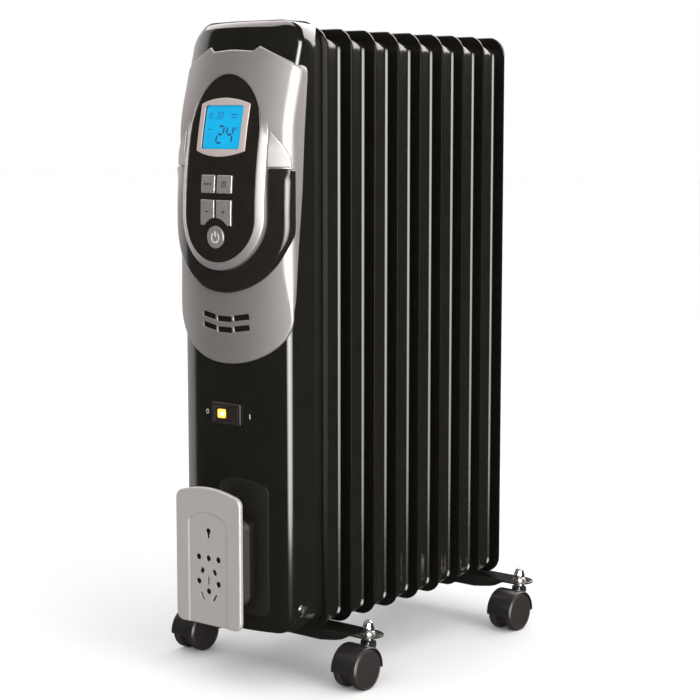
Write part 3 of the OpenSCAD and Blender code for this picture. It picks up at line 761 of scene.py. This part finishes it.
def handle_outline():
    outer = arc(0, 449, HANDLE_HW, HANDLE_DROP, 180, 360, 44)
    ends = fillet([(HANDLE_HW, 470, 0), (HANDLE_HW, HANDLE_TOP, 2.5), (HANDLE_IN + 0.6, HANDLE_TOP, 1.5),
                   (HANDLE_IN, 490, 0)])
    inner = arc(0, OVAL_LOW, HANDLE_IN, HANDLE_IN, 0, -180, 40)
    ends_left = [(-x, z) for x, z in ends[::-1]]
    return outer + ends + inner + ends_left


def handle_front(x, z):
    """Level with the collar, and a little lower towards the outer edge of the upper arms."""
    across = (abs(x) - HANDLE_IN) / (HANDLE_HW - HANDLE_IN)
    if z <= OVAL_LOW:
        a = math.atan2(z - 452, x)
        outer = math.hypot(HANDLE_HW * math.cos(a), HANDLE_DROP * math.sin(a))
        across = (math.hypot(x, z - 452) - HANDLE_IN) / (outer - HANDLE_IN)
    low = ease((503 - z) / 45)
    return fascia_y(x, z) - 3.4 - 0.4 * low + 1.6 * (1 - low) * min(max(across, 0), 1)


def handle_back(x, z):
    return fascia_y(x, z) + 0.8 + 5.5 * ease((abs(x) - 62) / 8)


def handle_rim(x, z):
    """A wide round on the outer edge, and a small one on the inner edge and the ends."""
    a = math.hypot(x, min(z - 456, 0))
    return 0.9 + 3.6 * ease((a - 58) / 5) * ease((501 - z) / 10)


def build_handle():
    plate("grab_handle", GRIP, handle_outline(), [], handle_front, handle_back, rim=handle_rim,
          steps=8, cell=2.0, replaces=["handle"], slot="handle_black")


# ---------------------------------------------------------------- rocker switch

ROCKER_HALF = 13.5
ROCKER_SWING = math.radians(7)


def rocker_face(u, v):
    """Two slopes that meet in a ridge across the middle."""
    return -5.0 + 1.8 * (1 - abs(u) / ROCKER_HALF) ** 1.15


def rocker_back(u, v):
    return 0.5 + 5.5 * ease((9.5 - abs(u)) / 5)


def build_rocker():
    front = -(BOW_R - BOW_Y)
    opening = rect(0, ROCKER_Z, 29.4, 15.2, 0.8)
    plate("rocker_surround", DARK, rect(0, ROCKER_Z, 37, 21, 1.6), [opening], lambda x, z: front - 1.6,
          lambda x, z: front + 0.3, rim=0.9, hole_rim=0.5, replaces=["rocker_bezel"], slot="dark_plastic")
    plate("rocker_well", DARK, rect(0, ROCKER_Z, 32.6, 17.8, 1), [opening], lambda x, z: front,
          lambda x, z: front + 15, rim=0.1, hole_rim=0.1, slot="dark_plastic")
    plate("rocker_floor", DARK, rect(0, ROCKER_Z, 30, 16, 0.5), [], lambda x, z: front + 13.5,
          lambda x, z: front + 15, rim=0.1, slot="dark_plastic")
    pivot = Vector((0, front + 3.0 + FRONT, ROCKER_Z))

    def tilted(u, d, v):
        c, s = math.cos(ROCKER_SWING), math.sin(ROCKER_SWING)
        return (pivot + Vector((u * c - d * s, u * s + d * c, v))) * MM

    key = {"body": "rocker", "place": tilted, "slot": "rocker_black"}
    plate("rocker_key", ROCKER, rect(0, 0, 2 * ROCKER_HALF, 14.6, 0.8), [], rocker_face, rocker_back, rim=0.7,
          cell=1.5, replaces=["rocker"], **key)
    plate("rocker_lamp", AMBER, rect(-5.6, 0, 8.6, 8.6, 1.5), [], raised(rocker_face, 0.25),
          raised(rocker_face, -0.3), rim=0.2, cell=1.5, **key)
    plate("rocker_lamp_core", CORE, arc(-5.2, 0, 2.1, 2.1, 0, 345, 23), [], raised(rocker_face, 0.4),
          raised(rocker_face, -0.2), rim=0.15, cell=1.0, **key)
    legend("mark_off", PALE_INK, [ring_arc(-27.5, ROCKER_Z - 0.5, 1.9, 0.7, 0, 352)], house_y, "root")
    legend("mark_on", PALE_INK, [rect(27.5, ROCKER_Z - 0.5, 0.9, 4.6)], house_y, "root")


# ---------------------------------------------------------------- cord store

# Height of the cord store, the thickness of its front plate, and the depth of the recess in it
STORE_Z = 123.0
PLATE_T = 4.5
RECESS = 1.2


def plate_outline():
    top = arc(0, STORE_Z - 34, 110, 110, 70, 110, 18)
    return fillet([(42, STORE_Z - 59, 8), (42, STORE_Z + 69, 9)]
                  + [(x, z, 0) for x, z in top if abs(x) < 33]
                  + [(-42, STORE_Z + 69, 9), (-42, STORE_Z - 59, 8)])


def parking_holes():
    holes = [arc(0, STORE_Z + 33.5, 3, 3, -58, 238, 20) + [(-1.2, STORE_Z + 26.5), (1.2, STORE_Z + 26.5)]]
    for x, z in ((-12.7, 7), (12.7, 7), (0, 7), (-12.7, -17), (12.7, -17), (0, -25.5)):
        holes.append(arc(x, STORE_Z + z, 3.0, 3.0, 0, 345, 23))
    for s in (-1, 1):
        holes.append(rect(s * 8, STORE_Z - 6, 4.2, 5.6, 0.5, s * 28))
        holes.append(rect(s * 8, STORE_Z - 31, 2.0, 8, 0.4, -s * 30))
    holes.append(rect(0, STORE_Z - 15, 1.8, 8, 0.3))
    return holes


def recess_depth(x, z):
    """Depth of the arched recess in the front of the plate, with a short sloping wall."""
    across = 25 - abs(x)
    up = STORE_Z + 16 + math.sqrt(max(36 ** 2 - min(abs(x), 36) ** 2, 0)) - z
    return RECESS * ease(min(across, up) / 0.8 + 0.5)


def plate_rim(x, z):
    return 2.0 - 0.6 * ease((STORE_Z - 56 - z) / 4)


def build_cord_store():
    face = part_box("cord_plate")[0].y / MM - FRONT
    body = plate_outline()
    plate("cord_store_plate", PLATE_SILVER, body, parking_holes(), lambda x, z: face + recess_depth(x, z),
          lambda x, z: face + PLATE_T, rim=plate_rim, back_rim=0.8, hole_rim=0.2, steps=6, cell=1.0,
          replaces=["cord_plate"], slot="silver_plastic")
    # Near-black sheet behind the parking holes: painted shade for the dark seen through them.
    plate("cord_store_shade_sheet", SHADE_BLACK, rect(0, STORE_Z + 4, 40, 84, 4), [], lambda x, z: face + RECESS + 0.9,
          lambda x, z: face + PLATE_T - 0.6, rim=0.2, cell=8.0, slot="dark_plastic")


# ---------------------------------------------------------------- feet and casters

def build_foot_bars():
    for name in ("foot_bar_front", "foot_bar_rear"):
        lo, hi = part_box(name)
        mid_y = (lo.y + hi.y) / 2 / MM
        top = hi.z / MM
        reach = hi.x / MM
        bm = bmesh.new()
        tab = arc(reach - 15, 0, 15, 15, -90, 90, 24) + arc(-reach + 15, 0, 15, 15, 90, 270, 24)
        add_plate(bm, tab, [], lambda u, v: 0.0, lambda u, v: 2.0, rim=1.0, back_rim=0.6, cell=8.0,
                  place=lambda u, d, v: Vector((u, mid_y + v, top - d)) * MM)
        for s in (-1, 1):
            slope = [(-97, -0.8, 0), (-85, -7, 8), (-78, -9, 5), (-58, -12, 5)]
            skirt = fillet(slope + [(-x, z, radius) for x, z, radius in reversed(slope)])
            add_plate(bm, skirt, [], lambda u, v: -1.1, lambda u, v: 1.1, rim=0.8, back_rim=0.6, cell=8.0,
                      place=lambda u, d, v, s=s: Vector((u, mid_y + s * (13.9 - d * 0.9), top + v)) * MM)
        finish_mesh(bm, f"{name}_pressing", FOOT, replaces=[name])


STEM_R = 3.5


def stem_places():
    """Centre of each caster stem, by corner: fl, rl, fr and rr."""
    lo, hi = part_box("caster_stems")
    xs = {"l": lo.x / MM + STEM_R, "r": hi.x / MM - STEM_R}
    ys = {"f": lo.y / MM + STEM_R, "r": hi.y / MM - STEM_R}
    return {end + side: (xs[side], ys[end]) for side in "lr" for end in "fr"}


def hex_ring(r, z, centre, round_by, n=48):
    """Hexagon of inner radius r with its corners cut back by a circle."""
    pts = []
    for i in range(n):
        a = 2 * math.pi * i / n
        flat = r / math.cos((a + math.pi / 6) % (math.pi / 3) - math.pi / 6)
        rr = min(flat, r * 1.155 - round_by)
        pts.append((centre[0] + rr * math.cos(a), centre[1] + rr * math.sin(a), centre[2] + z))
    return pts


def build_nuts():
    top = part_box("foot_bar_front")[1].z / MM
    washer = [(0, 0), (7.6, 0), (7.8, 0.4), (7.6, 0.9), (6.3, 1.0), (6.3, 2.4), (5.9, 2.8), (0, 2.8)]
    lower_washer = [(0, -3.0), (7.6, -3.0), (7.8, -2.5), (7.6, -2.0), (0, -2.0)]
    quarter = [math.radians(a) for a in range(0, 90, 10)]
    round_top = [(4.9 * math.cos(a), 8.6 + 5.0 * math.sin(a)) for a in quarter]
    dome = [(0, 7.6), (4.9, 7.6)] + round_top + [(0, 13.6)]
    nut = ((2.9, 0.9), (3.5, 0.35), (7.4, 0.35), (8.0, 0.95))
    lower_nut = ((-6.6, 0.9), (-6.1, 0.3), (-3.4, 0.3), (-3.0, 0.8))
    bm = bmesh.new()
    for x, y in stem_places().values():
        centre = (x, y, top)
        add_lathe(bm, washer, centre)
        add_loft(bm, [hex_ring(5.3, h, centre, cut) for h, cut in nut])
        add_lathe(bm, dome, centre)
        add_lathe(bm, lower_washer, centre)
        add_loft(bm, [hex_ring(5.2, h, centre, cut) for h, cut in lower_nut])
    finish_mesh(bm, "acorn_nuts_and_washers", CHROME, replaces=["stem_nuts"])


# Wheel radius, the gap from the middle to a wheel, its width, and how far the axle trails the stem
WHEEL_R = 20.0
WHEEL_IN = 6.0
WHEEL_T = 8.5
TRAIL = 18.0
HOOD_HALF = WHEEL_IN + WHEEL_T + 0.4
STEM_GAP = 3.6


def build_caster(corner):
    x, y = stem_places()[corner]
    axle = (x, y - TRAIL, WHEEL_R)
    body = f"caster_{corner}"
    bm = bmesh.new()
    r0, r1, h = WHEEL_R + 0.8, WHEEL_R + 2.8, HOOD_HALF
    edge = [(r0, -h), (r0 + 0.5, -h - 0.25), (r1 - 0.9, -h), (r1 - 0.2, -h + 0.8), (r1, -h + 2.2)]
    fender = edge + [(r1, 0)] + [(r, -across) for r, across in reversed(edge)] + [(r0, 0)]
    add_lathe(bm, fender, axle, "X", 48, -4, 184)
    web = arc(-TRAIL, WHEEL_R, WHEEL_R - 2.6, WHEEL_R - 2.6, 90, 330, 40)
    web += [(5.4, WHEEL_R + 2), (5.4, WHEEL_R + 18.6), (4.4, WHEEL_R + 19.6)]
    add_plate(bm, web, [], lambda u, v: -5.4, lambda u, v: 5.4, rim=1.0, back_rim=0.9, cell=6.0,
              place=lambda u, d, v: Vector((x + d, y + u, v)) * MM)
    top = WHEEL_R + 20.6
    for s in (-1, 1):
        ear = fillet([(-4.6, top - 3, 0), (4.6, top - 3, 0), (3.6, top + 3, 1.2), (-3.6, top + 3, 1.2)])
        add_plate(bm, ear, [], lambda u, v: -1.4, lambda u, v: 1.4, rim=0.5, back_rim=0.5, cell=4.0,
                  place=lambda u, d, v, s=s: Vector((x + s * 5.4 + d, y + u, v)) * MM)
    socket = [(STEM_GAP, top - 6), (7.0, top - 6.5), (7.0, top - 1.0), (6.2, top), (STEM_GAP, top)]
    add_lathe(bm, socket, (x, y, 0))
    for s in (-1, 1):
        pin = [(0, s * 5), (2.5, s * 5), (2.5, s * 13), (2.2, s * 13.4), (0, s * 13.4)]
        add_lathe(bm, pin, axle, "X", 32)
    finish_mesh(bm, f"hood_{corner}", NYLON, body, [f"caster_hood_{corner}"])
    for side, s in (("left", -1), ("right", 1)):
        a, b = WHEEL_IN, WHEEL_IN + WHEEL_T
        profile = [(2.6, a + 0.4), (13, a + 0.4), (18.2, a), (19.4, a + 0.3), (20, a + 1.3), (20, b - 1.6),
                   (19.6, b - 0.7), (18.8, b - 0.2), (18.2, b - 0.1), (17.7, b - 0.5), (17.2, b - 0.5),
                   (12, b - 0.15), (6, b + 0.1), (0, b + 0.2), (0, b - 0.9), (2.6, b - 0.9)]
        bm = bmesh.new()
        add_lathe(bm, [(r, s * hh) for r, hh in profile], axle, "X", 96)
        wheel = f"wheel_{corner}_{side}"
        finish_mesh(bm, f"caster_{wheel}", WHEEL, wheel, [wheel], sharp=45)


# ---------------------------------------------------------------- stage

FLOOR_HALF = 14


def build_stage():
    mesh = bpy.data.meshes.new("floor")
    bm = bmesh.new()
    bmesh.ops.create_grid(bm, x_segments=1, y_segments=1, size=FLOOR_HALF)
    bm.to_mesh(mesh)
    bm.free()
    floor = bpy.data.objects.new("floor", mesh)
    bpy.context.scene.collection.objects.link(floor)
    mesh.materials.append(material("floor_pale", (0.86, 0.86, 0.855), 0.85, spec=0.1, grain=3, mottle=0.01))
    floor.visible_glossy = False


def soft_light(name, azimuth, elevation, distance, width, height, radiance, color=(1, 1, 1), spread=180,
               up=(0, 0, 1), diffuse=1, glossy=1):
    """Area light facing the object. Azimuth 0 is in front of the controls, 90 is on the +X side."""
    a, e = math.radians(azimuth), math.radians(elevation)
    back = Vector((math.sin(a) * math.cos(e), -math.cos(a) * math.cos(e), math.sin(e)))
    top = (Vector(up) - Vector(up).dot(back) * back).normalized()
    half = math.radians(spread) / 2
    focus = 1.0 if spread >= 180 else (math.tan(half) - half) / math.tan(half)
    data = bpy.data.lights.new(name, "AREA")
    data.shape = "RECTANGLE"
    data.size = width
    data.size_y = height
    data.spread = math.radians(spread)
    data.energy = radiance * math.pi * width * height * focus
    data.color = color
    light = bpy.data.objects.new(name, data)
    light.location = Vector((0, 0, 0.32)) + distance * back
    light.rotation_euler = Matrix((top.cross(back), top, back)).transposed().to_euler()
    light.visible_diffuse = bool(diffuse)
    light.visible_glossy = bool(glossy)
    bpy.context.scene.collection.objects.link(light)


def build_lights():
    """A white surround that glossy parts don't mirror, and soft panels placed for their reflections."""
    world = bpy.data.worlds.new("studio")
    bpy.context.scene.world = world
    world.use_nodes = True
    nodes, links = world.node_tree.nodes, world.node_tree.links
    path = nodes.new("ShaderNodeLightPath")
    shader = nodes["Background"].outputs["Background"]
    nodes["Background"].inputs["Color"].default_value = (0.035, 0.034, 0.033, 1)
    for ray, level in (("Is Diffuse Ray", 1.22), ("Is Camera Ray", 1.0)):
        tone = nodes.new("ShaderNodeBackground")
        tone.inputs["Color"].default_value = (level, level, level, 1)
        mix = nodes.new("ShaderNodeMixShader")
        links.new(path.outputs[ray], mix.inputs["Fac"])
        links.new(shader, mix.inputs[1])
        links.new(tone.outputs["Background"], mix.inputs[2])
        shader = mix.outputs["Shader"]
    links.new(shader, nodes["World Output"].inputs["Surface"])
    soft_light("key_right", 54, 12, 2.2, 3.0, 2.4, 20, spread=80, diffuse=0)
    soft_light("key_fill", 80, 16, 2.4, 1.8, 2.0, 4, (1.0, 0.985, 0.975), glossy=0)
    soft_light("side_left", -100, 6, 2.2, 2.0, 2.4, 2.0, (1.0, 0.97, 0.95), spread=75, diffuse=0)
    soft_light("over_back", 176, 34, 2.6, 3.0, 2.2, 6, (1.0, 0.95, 0.945), diffuse=0)
    soft_light("over_left", -96, 62, 2.4, 2.8, 2.2, 4, (1.0, 0.92, 0.92), up=(0.557, 0.804, 0.21), diffuse=0)


def build_camera():
    """Looks at the middle of the object from the front right, from a little above."""
    azimuth, elevation, distance = math.radians(38.75), math.radians(7.3), 1.870
    aim = Vector((10.8, FRONT + 159.8, 312.1)) * MM
    data = bpy.data.cameras.new("camera")
    data.lens = 93.4
    data.sensor_width = 36
    data.clip_end = 60
    camera = bpy.data.objects.new("camera", data)
    camera.location = aim + distance * Vector((math.sin(azimuth) * math.cos(elevation),
                                               -math.cos(azimuth) * math.cos(elevation), math.sin(elevation)))
    camera.rotation_euler = (math.pi / 2 - elevation, 0, azimuth)
    bpy.context.scene.collection.objects.link(camera)
    bpy.context.scene.camera = camera


bpy.context.scene.view_settings.view_transform = "Standard"
build_camera()
finish_cad_nodes()
build_fins()
build_housing()
build_fascia()
build_keys()
build_panel()
build_handle()
build_rocker()
build_cord_store()
build_foot_bars()
build_nuts()
for corner_name in ("fl", "fr", "rl", "rr"):
    build_caster(corner_name)
build_stage()
build_lights()
